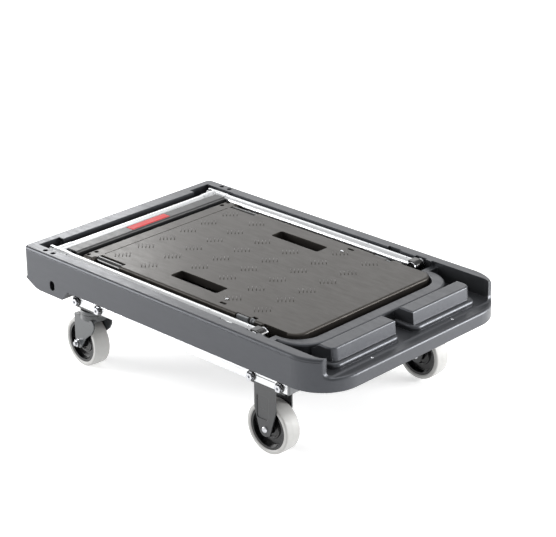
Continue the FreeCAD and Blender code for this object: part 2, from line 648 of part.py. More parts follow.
def bolt_through(x, y, z, half, head_out):
    """Axle bolt along Y with a head on the -Y side and a nut on the +Y side."""
    shank = rod(x, y - half - head_out, z, Y_AXIS, AXLE_R, 2.0 * half + head_out + NUT + 3.0)
    washer = rod(x, y - half - WASHER, z, Y_AXIS, WASHER_R - 0.5, WASHER)
    head = hexagon(x, y - half - WASHER - BOLT_HEAD, z, BOLT_FLATS, BOLT_HEAD)
    nut = hexagon(x, y + half, z, BOLT_FLATS, NUT)
    bolt = fuse([shank, washer, head, nut])
    rounded = rod(x, y - half - head_out - 1, z, Y_AXIS, BOLT_FLATS * 0.56, 2.0 * half + head_out + NUT + 6.0)
    return bolt.common(fuse([rounded, washer]))


def fixed_axle():
    """Axle riveted over at both ends into low domes."""
    half = WHEEL_WIDTH / 2.0 + WHEEL_GAP + PLATE
    y = left(FIXED_SIDE)
    axle = rod(FIXED_X, y - half, WHEEL_R, Y_AXIS, AXLE_R, 2.0 * half)
    near = rod(FIXED_X, y - half - RIVET_DOME, WHEEL_R, Y_AXIS, RIVET_DOME_R, RIVET_DOME)
    near = near.makeFillet(RIVET_DOME - 0.4, [e for e in near.Edges if e.BoundBox.YMax < y - half - 1.0])
    far = rod(FIXED_X, y + half, WHEEL_R, Y_AXIS, RIVET_DOME_R, RIVET_DOME)
    far = far.makeFillet(RIVET_DOME - 0.4, [e for e in far.Edges if e.BoundBox.YMin > y + half + 1.0])
    return fuse([axle, near, far])


NECK_TOP = CASTER_TOP - 10.5
YOKE_TOP = CASTER_TOP - 27.0
KING_HEAD = YOKE_TOP - 4.0


def swivel_plate():
    """Top plate, its upstand and the ball cup under it, round the king pin."""
    y = left(SWIVEL_SIDE)
    bolt_x = SWIVEL_X + SWIVEL_BOLT_SHIFT
    reach = SWIVEL_BOLT_SPACING / 2.0 + 10.0
    plate = box(SWIVEL_X - 18.0, bolt_x + reach, left(RAIL_SIDE), y + NECK_R, CASTER_TOP - PLATE, CASTER_TOP)
    cup_low = NECK_TOP + 2.0
    cup = rod(SWIVEL_X, y, cup_low, Z_AXIS, NECK_R - 4.5, CASTER_TOP - PLATE - cup_low)
    plate = fuse([plate, cup, bolted_flange(bolt_x, SWIVEL_BOLT_SPACING)])
    return plate.cut(rod(SWIVEL_X, y, NECK_TOP - 1, Z_AXIS, KING_PIN_R + HOLE_PLAY, 20.0))


def swivel_kingpin():
    """King pin with a wide head under the yoke, riveted over above the plate."""
    y = left(SWIVEL_SIDE)
    shank = rod(SWIVEL_X, y, KING_HEAD, Z_AXIS, KING_PIN_R, CASTER_TOP - KING_HEAD)
    head = rod(SWIVEL_X, y, KING_HEAD - 4.0, Z_AXIS, 8.0, 4.0)
    return fuse([shank, head])


def swivel_turn(shape):
    shape = shape.copy()
    shape.rotate(Vector(SWIVEL_X, left(SWIVEL_SIDE), 0), Z_AXIS, SWIVEL_YAW)
    return shape


def swivel_fork():
    half = WHEEL_WIDTH / 2.0 + WHEEL_GAP
    y = left(SWIVEL_SIDE)
    axle_x = SWIVEL_X - SWIVEL_TRAIL
    tip_r = SWIVEL_TIP_R
    back = axle_x - tip_r
    front = SWIVEL_X + NECK_R + 1.5
    slope = tangent_points(front - 29.0, YOKE_TOP - 44.0, axle_x, WHEEL_R, tip_r, 1)
    outline = [(back, YOKE_TOP), (front - 4.0, YOKE_TOP), (front, YOKE_TOP - 6.0), (front, YOKE_TOP - 14.0),
               (front - 7.0, YOKE_TOP - 26.0), (front - 29.0, YOKE_TOP - 44.0), slope, (back, WHEEL_R)]
    pieces = []
    for y0 in (y - half - PLATE, y + half):
        pieces.append(leg_plate(outline, axle_x, WHEEL_R, y0, PLATE, tip_r))
    pieces.append(box(back, front - 4.0, y - half - PLATE, y + half + PLATE, YOKE_TOP - PLATE, YOKE_TOP))
    neck = rod(SWIVEL_X, y, YOKE_TOP - PLATE, Z_AXIS, NECK_R, NECK_TOP - YOKE_TOP + PLATE)
    neck = round_edges(neck, 2.0, flat_at(NECK_TOP))
    step = YOKE_TOP + 0.5 * (NECK_TOP - YOKE_TOP)
    neck = neck.cut(ring(SWIVEL_X, y, step, Z_AXIS, NECK_R + 1.0, NECK_R - 0.8, 1.2))
    fork = fuse(pieces + [neck])
    fork = fork.cut(rod(SWIVEL_X, y, YOKE_TOP - 10, Z_AXIS, KING_PIN_R + HOLE_PLAY, 40.0))
    fork = fork.cut(rod(SWIVEL_X, y, KING_HEAD - 6.0, Z_AXIS, 8.3, 6.0 + PLAY))
    fork = fork.cut(rod(axle_x, y - half - PLATE - 1, WHEEL_R, Y_AXIS, AXLE_R + HOLE_PLAY,
                        2.0 * (half + PLATE) + 2))
    return swivel_turn(fork)


def swivel_axle():
    half = WHEEL_WIDTH / 2.0 + WHEEL_GAP + PLATE
    return swivel_turn(bolt_through(SWIVEL_X - SWIVEL_TRAIL, left(SWIVEL_SIDE), WHEEL_R, half,
                                    WASHER + BOLT_HEAD + 4.0))


# ---------------------------------------------------------------- wheels
def tyre(x, y):
    half = WHEEL_WIDTH / 2.0
    inner = WHEEL_R - TYRE_THICKNESS
    seat = 1.5
    edge = TYRE_EDGE_R
    points = [(inner, -half + seat), (inner + 2.0, -half), (WHEEL_R - edge, -half)]
    for step in range(1, 7):
        turn = math.radians(15 * step)
        points.append((WHEEL_R - edge + (edge - 0.6) * math.sin(turn), -half + edge - edge * math.cos(turn)))
    points += [(WHEEL_R, 0.0)]
    points += [(r, -along) for r, along in reversed(points[:-1])]
    return turned(points, Vector(x, y, WHEEL_R))


def hub(x, y):
    """Moulded hub: rim, thin web with a raised ring on each side, and the boss."""
    bore = AXLE_R + HOLE_PLAY
    rim_out = WHEEL_R - TYRE_THICKNESS
    rim_in = rim_out - 5.0
    half = WHEEL_WIDTH / 2.0
    boss = half + WHEEL_GAP - PLAY
    one_side = [(bore, boss), (10.0, boss), (12.0, 8.0), (19.0, 6.0), (19.6, 8.5), (22.4, 8.5), (23.0, 6.0),
                (rim_in - 2.0, 6.0), (rim_in, half - 2.0), (rim_out, half - 1.8)]
    points = one_side + [(r, -along) for r, along in reversed(one_side)]
    return turned(points, Vector(x, y, WHEEL_R))


# ---------------------------------------------------------------- handle
def handle_bracket():
    """U-shaped steel bracket that the handle leg is hinged in."""
    y = left(LEG_SIDE)
    gap = TUBE_R + 0.5
    plates = []
    for y0 in (y - gap - 2.5, y + gap):
        outline = [(HANDLE_X - 12.0, TRAY_FLOOR), (HANDLE_X + 12.0, TRAY_FLOOR),
                   (HANDLE_X + 10.0, TUBE_Z), (HANDLE_X - 10.0, TUBE_Z)]
        plates.append(leg_plate(outline, HANDLE_X, TUBE_Z, y0, 2.5, 10.0))
    base = box(HANDLE_X - 12.0, HANDLE_X + 12.0, y - gap - 2.5, y + gap + 2.5, TRAY_FLOOR, TRAY_FLOOR + 2.5)
    bracket = fuse(plates + [base])
    return bracket.cut(rod(HANDLE_X, y - 20, TUBE_Z, Y_AXIS, HANDLE_PIN_R + HOLE_PLAY, 40))


def handle_pins():
    y = left(LEG_SIDE)
    reach = TUBE_R + 3.0
    pin = rod(HANDLE_X, y - reach, TUBE_Z, Y_AXIS, HANDLE_PIN_R, 2.0 * reach)
    head = rod(HANDLE_X, y - reach - 1.8, TUBE_Z, Y_AXIS, 7.0, 1.8)
    pin = fuse([pin, head])
    return Part.makeCompound([pin, mirrored(pin)])


TUBE_START = CROSSBAR_X + CORNER_LEG + 0.5
TUBE_END = HANDLE_X - 11.0


def handle_tube():
    y = left(LEG_SIDE)
    tube = ring(TUBE_START, y, TUBE_Z, X_AXIS, TUBE_R, TUBE_R - TUBE_WALL, TUBE_END - TUBE_START)
    for x in rivet_places():
        tube = tube.cut(rod(x, y, TUBE_Z, Z_AXIS, 2.0, TUBE_R + 2))
    return tube


def rivet_places():
    return [HANDLE_X - 22.0, HANDLE_X - 122.0]


def hinge_plug():
    """Moulded knuckle in the tube's end, bored for the hinge pin."""
    y = left(LEG_SIDE)
    spigot = rod(TUBE_END - 28.0, y, TUBE_Z, X_AXIS, TUBE_R - TUBE_WALL, 29.0)
    low = Vector(HANDLE_X, y - TUBE_R, TUBE_Z - TUBE_R)
    tip = Vector(HANDLE_X + TUBE_R, y - TUBE_R, TUBE_Z)
    high = Vector(HANDLE_X, y - TUBE_R, TUBE_Z + TUBE_R)
    edges = [
        Part.makeLine(Vector(TUBE_END, low.y, low.z), low),
        Part.Arc(low, tip, high).toShape(),
        Part.makeLine(high, Vector(TUBE_END, high.y, high.z)),
        Part.makeLine(Vector(TUBE_END, high.y, high.z), Vector(TUBE_END, low.y, low.z)),
    ]
    knuckle = Part.Face(Part.Wire(edges)).extrude(Vector(0, 2.0 * TUBE_R, 0))
    knuckle = knuckle.makeFillet(2.0, [e for e in knuckle.Edges if e.BoundBox.YLength < 0.01])
    plug = fuse([spigot, knuckle])
    plug = plug.cut(rod(HANDLE_X, y - 20, TUBE_Z, Y_AXIS, HANDLE_PIN_R + HOLE_PLAY, 40))
    return plug.cut(rod(rivet_places()[0], y, TUBE_Z + TUBE_R - 6.0, Z_AXIS, 2.0, 8.0))


def stop_bush():
    """Bush riveted inside the outer tube, where the inner tube stops when it is pushed home."""
    y = left(LEG_SIDE)
    bush = ring(rivet_places()[1] - 7.0, y, TUBE_Z, X_AXIS, TUBE_R - TUBE_WALL, 5.0, 14.0)
    return bush.cut(rod(rivet_places()[1], y, TUBE_Z, Z_AXIS, 2.0, TUBE_R + 2))


def guide_bushes():
    bushes = []
    y = left(LEG_SIDE)
    mouth = ring(TUBE_START + 0.5, y, TUBE_Z, X_AXIS, TUBE_R - TUBE_WALL, INNER_TUBE_R + HOLE_PLAY, 22.0)
    bushes += [mouth, mirrored(mouth), stop_bush(), mirrored(stop_bush())]
    return Part.makeCompound(bushes)


def tube_rivets():
    rivets = []
    y = left(LEG_SIDE)
    for x in rivet_places():
        rivet = rod(x, y, TUBE_Z + TUBE_R - 5.0, Z_AXIS, 1.95, 5.0)
        head = Part.makeSphere(5.0, Vector(x, y, TUBE_Z + TUBE_R - 4.0))
        head = head.common(box(x - 4, x + 4, y - 4, y + 4, TUBE_Z + TUBE_R, ABOVE))
        rivet = fuse([rivet, head])
        rivets += [rivet, mirrored(rivet)]
    return Part.makeCompound(rivets)


def inner_tube():
    y = left(LEG_SIDE)
    start = CROSSBAR_X + 4.0
    length = rivet_places()[1] - 8.0 - start
    return ring(start, y, TUBE_Z, X_AXIS, INNER_TUBE_R, INNER_TUBE_R - INNER_TUBE_WALL, length)


def tail_glides():
    glides = []
    y = left(LEG_SIDE)
    end = rivet_places()[1] - 8.0
    glide = ring(end - 22.0, y, TUBE_Z, X_AXIS, TUBE_R - TUBE_WALL - HOLE_PLAY, INNER_TUBE_R, 20.0)
    glides += [glide, mirrored(glide)]
    return Part.makeCompound(glides)


def corner_piece():
    """Cast corner: one sleeve on the leg, one on the cross tube, and a tongue for the grip bar."""
    y = left(LEG_SIDE)
    z = RIM - CORNER_R
    leg = rod(CROSSBAR_X, y, z, X_AXIS, CORNER_R, CORNER_LEG)
    collar = rod(CROSSBAR_X + CORNER_LEG - 5.0, y, z, X_AXIS, CORNER_R, 5.0)
    bar = rod(CROSSBAR_X, y, z, Y_AXIS, CORNER_R, CORNER_BAR)
    ball = Part.makeSphere(CORNER_R, Vector(CROSSBAR_X, y, z))
    web = box(CROSSBAR_X, CROSSBAR_X + 24.0, y, y + CORNER_R + 0.5, z - 5.0, z + 7.0)
    ear = rod(CROSSBAR_X - CORNER_EAR, y, z, X_AXIS, CORNER_EAR_R, CORNER_EAR)
    ear = ear.makeFillet(3.0, [e for e in ear.Edges if e.BoundBox.XMax < CROSSBAR_X - CORNER_EAR + 1.0])
    ridge = box(CROSSBAR_X - CORNER_EAR + 4.0, CROSSBAR_X + 18.0, y - 2.5, y + 2.5, z, z + CORNER_R)
    tongue = box(GRIP_X0 + GRIP_WALL + 2.0, GRIP_X1 - 8.5, y + 4.0, y + CORNER_R + 16.0, z - 6.0, z + 2.0)
    body = fuse([leg, bar, ball, collar, web, ear, ridge, tongue])
    body = body.cut(rod(CROSSBAR_X + 4.0, y, TUBE_Z, X_AXIS, INNER_TUBE_R + 0.02, CORNER_LEG + 5.0))
    return body.cut(rod(CROSSBAR_X, y + 14.0, TUBE_Z, Y_AXIS, TUBE_R + 0.02, CORNER_BAR))


def crossbar():
    start = left(LEG_SIDE) + 14.0
    return ring(CROSSBAR_X, start, TUBE_Z, Y_AXIS, TUBE_R, TUBE_R - TUBE_WALL, -2.0 * start)


GRIP_X0 = CROSSBAR_X + CORNER_R + GRIP_BAR_GAP
GRIP_X1 = GRIP_X0 + GRIP_BAR_WIDTH
GRIP_Y = HALF - LEG_SIDE - CORNER_R - 1.0
GRIP_TOP = RIM - 1.0
GRIP_BOTTOM = GRIP_TOP - GRIP_BAR_HEIGHT
GRIP_SEAM = RIM - CORNER_R - 8.0
GRIP_WALL = 2.5


def grip_form():
    form = box(GRIP_X0, GRIP_X1, -GRIP_Y, GRIP_Y, GRIP_BOTTOM, GRIP_TOP)
    form = form.makeFillet(4.0, [e for e in form.Edges if e.BoundBox.YLength > 1.0])
    hollow = box(GRIP_X0 + GRIP_WALL, GRIP_X1 - GRIP_WALL, -GRIP_Y - 1, GRIP_Y + 1,
                 GRIP_BOTTOM + GRIP_WALL, GRIP_TOP - GRIP_WALL)
    return form.cut(hollow)


def button_form(play, z0, z1):
    return box(GRIP_X0 + 5.0 - play, GRIP_X1 - 5.0 + play, -BUTTON_LENGTH / 2.0 - play,
               BUTTON_LENGTH / 2.0 + play, z0, z1)


def grip_shell_top():
    half = grip_form().common(box(GRIP_X0 - 1, GRIP_X1 + 1, -HALF, HALF, GRIP_SEAM, ABOVE))
    return half.cut(button_form(0.4, GRIP_TOP - GRIP_WALL - 1, ABOVE))


def grip_shell_bottom():
    half = grip_form().common(box(GRIP_X0 - 1, GRIP_X1 + 1, -HALF, HALF, 0.0, GRIP_SEAM))
    for y in grip_screw_places():
        half = half.cut(rod((GRIP_X0 + GRIP_X1) / 2.0, y, GRIP_BOTTOM - 1, Z_AXIS, 1.8, GRIP_WALL + 2))
    return half


def grip_screw_places():
    return [-GRIP_Y * 0.8, -GRIP_Y * 0.4, GRIP_Y * 0.4, GRIP_Y * 0.8]


def grip_screws():
    """Screws from below, each in a post that reaches up under the top shell."""
    screws = []
    x = (GRIP_X0 + GRIP_X1) / 2.0
    for y in grip_screw_places():
        head = rod(x, y, GRIP_BOTTOM - 1.5, Z_AXIS, 3.2, 1.5)
        shank = rod(x, y, GRIP_BOTTOM - 0.5, Z_AXIS, 1.7, GRIP_TOP - GRIP_WALL - GRIP_BOTTOM - 0.5)
        screws.append(fuse([head, shank]))
    return Part.makeCompound(screws)


def release_button():
    top = RIM - 0.2
    key = button_form(0.0, GRIP_TOP - 7.5, top)
    key = round_edges(key, 1.5, flat_at(top))
    flange = button_form(0.0, GRIP_TOP - 9.5, GRIP_TOP - 7.5)
    grown = box(GRIP_X0 + 3.0, GRIP_X1 - 3.0, -BUTTON_LENGTH / 2.0 - 2.0, BUTTON_LENGTH / 2.0 + 2.0,
                GRIP_TOP - 8.5, GRIP_TOP - 6.5)
    return fuse([key, flange, grown])


def release_spring():
    x = (GRIP_X0 + GRIP_X1) / 2.0
    low = GRIP_BOTTOM + GRIP_WALL + 0.6
    high = GRIP_TOP - 9.5 - 0.6
    helix = Part.makeHelix((high - low) / 4.0, high - low, 4.0)
    circle = Part.makeCircle(0.5, Vector(4.0, 0, 0), Y_AXIS)
    coil = Part.Wire(helix.Edges).makePipeShell([Part.Wire([circle])], True, True)
    coil.translate(Vector(x, 0, low))
    return coil


# ---------------------------------------------------------------- scissor lift
def strut(y0, x0, x1, pin_places, hole_r):
    """Flat bar with round ends and holes for its pins."""
    half = STRUT_HEIGHT / 2.0
    bar = box(x0, x1, y0, y0 + STRUT, STRUT_Z - half, STRUT_Z + half)
    ends = [rod(x, y0, STRUT_Z, Y_AXIS, half, STRUT) for x in (x0, x1)]
    bar = fuse([bar] + ends)
    for x in pin_places:
        bar = bar.cut(rod(x, y0 - 1, STRUT_Z, Y_AXIS, hole_r, STRUT + 2))
    return bar


MID_X = PIVOT_X - STRUT_LENGTH / 2.0
OUTER_Y = left(STRUT_SIDE)
INNER_Y = OUTER_Y + STRUT + STRUT_GAP


def outer_strut():
    hole = STRUT_PIN_R + HOLE_PLAY
    return strut(OUTER_Y, STRUT_END_X, PIVOT_X, (STRUT_END_X, MID_X, PIVOT_X), hole)


def inner_strut():
    hole = STRUT_PIN_R + HOLE_PLAY
    return strut(INNER_Y, STRUT_END_X, PIVOT_X, (STRUT_END_X, MID_X, PIVOT_X), hole)


def scissor_rod():
    reach = -OUTER_Y
    middle = rod(MID_X, -reach, STRUT_Z, Y_AXIS, STRUT_PIN_R, 2.0 * reach)
    return middle


def outer_glides():
    """Nylon shoes on the free ends of the outer struts, which slide under the deck's ledges."""
    half = STRUT_HEIGHT / 2.0
    shoe = rod(STRUT_END_X, OUTER_Y, STRUT_Z, Y_AXIS, GLIDE_R, STRUT)
    inside = fuse([rod(STRUT_END_X, OUTER_Y - 1, STRUT_Z, Y_AXIS, half, STRUT + 2),
                   box(STRUT_END_X, STRUT_END_X + 20, OUTER_Y - 1, OUTER_Y + STRUT + 1,
                       STRUT_Z - half, STRUT_Z + half)])
    shell = shoe.cut(inside)
    pin = rod(STRUT_END_X, OUTER_Y, STRUT_Z, Y_AXIS, STRUT_PIN_R, STRUT)
    pieces = []
    for solid in shell.Solids + [pin]:
        pieces += [solid, mirrored(solid)]
    return Part.makeCompound(pieces)


def floor_axle():
    reach = -INNER_Y + 0.4
    return rod(STRUT_END_X, -reach, STRUT_Z, Y_AXIS, STRUT_PIN_R, 2.0 * reach)


def floor_rollers():
    y = INNER_Y + STRUT + 0.5
    roller = ring(STRUT_END_X, y, STRUT_Z, Y_AXIS, GLIDE_R, STRUT_PIN_R + HOLE_PLAY, 8.0)
    return Part.makeCompound([roller, mirrored(roller)])


def scissor_bracket():
    """Lug on the tray floor that holds the outer strut's pin."""
    y0 = OUTER_Y - 5.4
    outline = [(PIVOT_X - 11.0, TRAY_FLOOR), (PIVOT_X + 11.0, TRAY_FLOOR),
               (PIVOT_X + 8.0, STRUT_Z), (PIVOT_X - 8.0, STRUT_Z)]
    lug = leg_plate(outline, PIVOT_X, STRUT_Z, y0, 5.0, 8.0)
    foot = box(PIVOT_X - 11.0, PIVOT_X + 11.0, y0 - 8.0, y0 + 5.0, TRAY_FLOOR, TRAY_FLOOR + 2.0)
    pin = rod(PIVOT_X, y0, STRUT_Z, Y_AXIS, STRUT_PIN_R, 5.4 + STRUT + 0.5)
    return fuse([lug, foot, pin])


# ---------------------------------------------------------------- upper deck
DECK_X0 = GRIP_END + DECK_GRIP_INSET
DECK_X1 = HINGE_END - TRAY_END - DECK_END_GAP
DECK_HALF = HALF - DECK_SIDE
DECK_EAR_HALF = HALF - DECK_EAR_SIDE
CATCH_X0 = DECK_X0 + DECK_EAR_LENGTH
CATCH_X1 = CATCH_X0 + 68.0
CATCH_DEPTH = 17.0
LATCH_SLOT_X = HINGE_END - LATCH_SLOT_INSET
TAB_X0 = PIVOT_X - 58.0
TAB_X1 = PIVOT_X - 24.0
KNOB_X0 = TAB_X1 + 1.0
KNOB_X1 = PIVOT_X - 11.0
KNOB_DEPTH = 13.0
KNOB_R = 5.6
DECK_HOLE_R = 4.6


def deck_shell(inset, z0, z1):
    main = plan(DECK_X0 + inset, DECK_X1 - inset, DECK_HALF - inset, 10.0, DECK_CORNER_R - inset, z0, z1)
    ears = plan(DECK_X0 + inset, DECK_X0 + DECK_EAR_LENGTH - inset, DECK_EAR_HALF - inset, 10.0, 2.0, z0, z1)
    return fuse([main, ears])


def hand_slot(grow, z0, z1):
    middle = (DECK_X0 + DECK_X1) / 2.0 + HAND_SLOT_SHIFT
    x0 = middle - HAND_SLOT_LENGTH / 2.0 - grow
    x1 = middle + HAND_SLOT_LENGTH / 2.0 + grow
    half = HAND_SLOT_WIDTH / 2.0 + grow
    slot = plan(x0, x1, half, HAND_SLOT_R + grow, HAND_SLOT_R + grow, z0, z1)
    slot.translate(Vector(0, left(HAND_SLOT_SIDE) + HAND_SLOT_WIDTH / 2.0, 0))
    return slot


def edge_cuts(grow, z0):
    cuts = [
        box(KNOB_X0 - grow, KNOB_X1 + grow, -HALF, -DECK_HALF + KNOB_DEPTH + grow, z0, ABOVE),
        box(CATCH_X0 - grow, CATCH_X1 + grow, -HALF, -DECK_HALF + CATCH_DEPTH + grow, z0, ABOVE),
        box(TAB_X0 - grow, TAB_X1 + grow, -HALF, -DECK_HALF + 6.0 + grow, z0, ABOVE),
        box(HANDLE_X - 12.0 - grow, HANDLE_X + 44.0 + grow, -HALF, -DECK_HALF + 4.5 + grow, z0, ABOVE),
    ]
    return cuts + [mirrored(cut) for cut in cuts]


def upper_deck():
    top = DECK_TOP
    low = DECK_BOTTOM
    body = deck_shell(0.0, low, top)
    body = round_edges(body, DECK_GRIP_R, lambda e: flat_at(top)(e) and e.BoundBox.XMax < DECK_X0 + 0.01)
    body = round_edges(body, DECK_EDGE_R, lambda e: flat_at(top)(e) and e.BoundBox.XMin > DECK_X0 + 12.0)
    hollow = deck_shell(DECK_WALL, low - 1, top - DECK_PLATE)
    for cut in edge_cuts(DECK_WALL, low - 2):
        hollow = hollow.cut(cut)
    body = body.cut(hollow)
    for cut in edge_cuts(0.0, low - 2):
        body = body.cut(cut)
    ribs = []
    count = max(4, int(round((DECK_X1 - DECK_X0) / 80.0)))
    rib_low = top - DECK_RIB_DEPTH
    for number in range(1, count):
        x = DECK_X0 + number * (DECK_X1 - DECK_X0) / count
        ribs.append(box(x, x + RIB, -0.5 * DECK_HALF, 0.5 * DECK_HALF, rib_low, top - 1.0))
    for y in (-0.5 * DECK_HALF, -RIB / 2.0, 0.5 * DECK_HALF - RIB):
        ribs.append(box(DECK_X0 + 2.0, DECK_X1 - 2.0, y, y + RIB, rib_low, top - 1.0))
    body = fuse([body] + ribs)
    for slot in (hand_slot(DECK_WALL, low + 4.0, top - 1.0), hand_slot(0.0, low - 1, ABOVE)):
        pair = [slot, mirrored(slot)]
        if slot.BoundBox.ZMax > top:
            body = body.cut(fuse(pair))
        else:
            body = fuse([body] + pair)
    # ledges that the outer struts' shoes slide under, and lugs that hang on the inner struts
    ledge_end = PIVOT_X - 0.45 * STRUT_LENGTH
    ledge_z = STRUT_Z + GLIDE_R + PLAY
    ledge = box(STRUT_END_X - 12.0, ledge_end, OUTER_Y + 0.2, -DECK_HALF + CATCH_DEPTH + 1.0,
                ledge_z, ledge_z + 4.0)
    lug_y = INNER_Y + STRUT + 0.5
    lug = box(PIVOT_X - 9.0, PIVOT_X + 9.0, lug_y, lug_y + 6.0, STRUT_Z, top - 1.0)
    lug = fuse([lug, rod(PIVOT_X, lug_y, STRUT_Z, Y_AXIS, 9.0, 6.0)])
    lug = lug.cut(rod(PIVOT_X, lug_y - 1, STRUT_Z, Y_AXIS, STRUT_PIN_R + HOLE_PLAY, 8.0))
    body = fuse([body, ledge, mirrored(ledge), lug, mirrored(lug)])
    groove = box(DECK_X0 + DECK_EAR_LENGTH - 1.0, DECK_X0 + DECK_EAR_LENGTH + 0.6,
                 -DECK_HALF + CATCH_DEPTH + 6.0, DECK_HALF - CATCH_DEPTH - 6.0, top - 1.0, top + 1.0)
    body = body.cut(groove)
    holes = [rod(DECK_X0 + 10.3, left(DECK_SIDE + 1.0), top - 8.0, Z_AXIS, DECK_HOLE_R, 10.0),
             rod(DECK_X0 + 12.1, left(DECK_SIDE + 19.5), top - 8.0, Z_AXIS, DECK_HOLE_R, 10.0), latch_slot()]
    for hole in holes:
        body = body.cut(hole).cut(mirrored(hole))
    return body


def latch_slot():
    x0 = LATCH_SLOT_X - LATCH_SLOT_LENGTH / 2.0
    slot = plan(x0, x0 + LATCH_SLOT_LENGTH, LATCH_SLOT_R, LATCH_SLOT_R - 0.1, LATCH_SLOT_R - 0.1,
                DECK_TOP - 8.0, DECK_TOP + 2.0)
    slot.translate(Vector(0, left(LATCH_SLOT_SIDE), 0))
    return slot


def deck_hinge_pins():
    lug_y = INNER_Y + STRUT + 0.5
    pin = rod(PIVOT_X, INNER_Y - 0.5, STRUT_Z, Y_AXIS, STRUT_PIN_R, lug_y + 8.0 - INNER_Y + 0.5)
    head = rod(PIVOT_X, lug_y + 6.0, STRUT_Z, Y_AXIS, 6.5, 2.0)
    pin = fuse([pin, head])
    return Part.makeCompound([pin, mirrored(pin)])


def deck_catch():
    """Hollow dark barrel in the notch in the deck's edge, open at its end."""
    y = -DECK_HALF + 8.4
    z = DECK_TOP - 8.2
    length = CATCH_X1 - CATCH_X0 - 2.0
    barrel = rod(CATCH_X0, y, z, X_AXIS, 8.0, length).cut(rod(CATCH_X0 + 6.0, y, z, X_AXIS, 4.6, length))
    mouth = [e for e in barrel.Edges if e.Closed and e.BoundBox.XMin > CATCH_X0 + 6.5]
    barrel = barrel.makeFillet(1.0, mouth)
    return Part.makeCompound([barrel, mirrored(barrel)])


def edge_tabs():
    """Grey tabs clipped into the pockets in the deck's edges."""
    tab = box(TAB_X0 + 2.0, TAB_X1 - 4.0, -DECK_HALF + 1.0, -DECK_HALF + 6.0,
              DECK_BOTTOM + 1.0, DECK_TOP - 1.0)
    tab = round_edges(tab, 1.2, lambda e: e.BoundBox.ZLength < 1.0 and e.BoundBox.ZMax > DECK_TOP - 2)
    y = -DECK_HALF + KNOB_R + 0.8
    z = DECK_TOP - KNOB_R - 0.6
    knob = rod(KNOB_X0, y, z, X_AXIS, KNOB_R - 1.2, KNOB_X1 - KNOB_X0 - 1.0)
    knob = knob.makeFillet(2.0, [e for e in knob.Edges if e.BoundBox.XMin > KNOB_X1 - 1.5])
    collar = rod(KNOB_X0, y, z, X_AXIS, KNOB_R, 4.0)
    knob = fuse([knob, collar])
    return Part.makeCompound([tab, mirrored(tab), knob, mirrored(knob)])


# ---------------------------------------------------------------- files
def save(name, shape):
    solids = shape.Solids
    whole = solids[0] if len(solids) == 1 else Part.makeCompound(solids)
    whole.exportStep(os.path.join("parts", name + ".step"))


def save_pair(name, shape):
    save(name + "_left", shape)
    save(name + "_right", mirrored(shape))


def right_swivel(shape):
    """The right swivel caster stands turned the same way as the left one, so it isn't mirrored."""
    shape = shape.copy()
    shape.translate(Vector(0, -2.0 * left(SWIVEL_SIDE), 0))
    return shape


def save_swivel_pair(name, shape):
    save(name + "_left", shape)
    save(name + "_right", right_swivel(shape))


def main():
    os.makedirs("parts", exist_ok=True)
    save("lower_deck", lower_deck())
    save_pair("rail", rail())
    save("rail_end_caps", rail_end_caps())
    save("cross_members", cross_members())
    save("rail_bolts", rail_bolts())
    save("rail_nuts", rail_nuts())
    save("deck_screws", deck_screws())
    save_pair("fixed_fork", fixed_fork())
    save_pair("fixed_axle", fixed_axle())
    save_pair("swivel_plate", swivel_plate())
    save("kingpins", Part.makeCompound([swivel_kingpin(), mirrored(swivel_kingpin())]))
    save_swivel_pair("swivel_fork", swivel_fork())
    save_swivel_pair("swivel_axle", swivel_axle())
    save_pair("fixed_hub", hub(FIXED_X, left(FIXED_SIDE)))
    save_pair("fixed_tyre", tyre(FIXED_X, left(FIXED_SIDE)))
    trailing_x = SWIVEL_X - SWIVEL_TRAIL
    save_swivel_pair("swivel_hub", swivel_turn(hub(trailing_x, left(SWIVEL_SIDE))))
    save_swivel_pair("swivel_tyre", swivel_turn(tyre(trailing_x, left(SWIVEL_SIDE))))
    save_pair("handle_bracket", handle_bracket())
    save("handle_pins", handle_pins())
    save_pair("handle_tube", handle_tube())
    save_pair("hinge_plug", hinge_plug())
    save("guide_bushes", guide_bushes())
    save("tube_rivets", tube_rivets())
    save_pair("inner_tube", inner_tube())
    save("tail_glides", tail_glides())
    save_pair("corner_piece", corner_piece())
    save("crossbar", crossbar())
    save("grip_shell_top", grip_shell_top())
    save("grip_shell_bottom", grip_shell_bottom())
    save("grip_screws", grip_screws())
    save("release_button", release_button())
    save("release_spring", release_spring())
    save("scissor_brackets", Part.makeCompound([scissor_bracket(), mirrored(scissor_bracket())]))
    save_pair("outer_strut", outer_strut())
    save_pair("inner_strut", inner_strut())
    save("scissor_rod", scissor_rod())
    save("outer_glides", outer_glides())
    save("floor_axle", floor_axle())
    save("floor_rollers", floor_rollers())
    save("upper_deck", upper_deck())
    save("deck_hinge_pins", deck_hinge_pins())
    save("deck_catch", deck_catch())
    save("edge_tabs", edge_tabs())


main()
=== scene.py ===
import json
import math
import bmesh
import bpy
from mathutils import Matrix, Vector


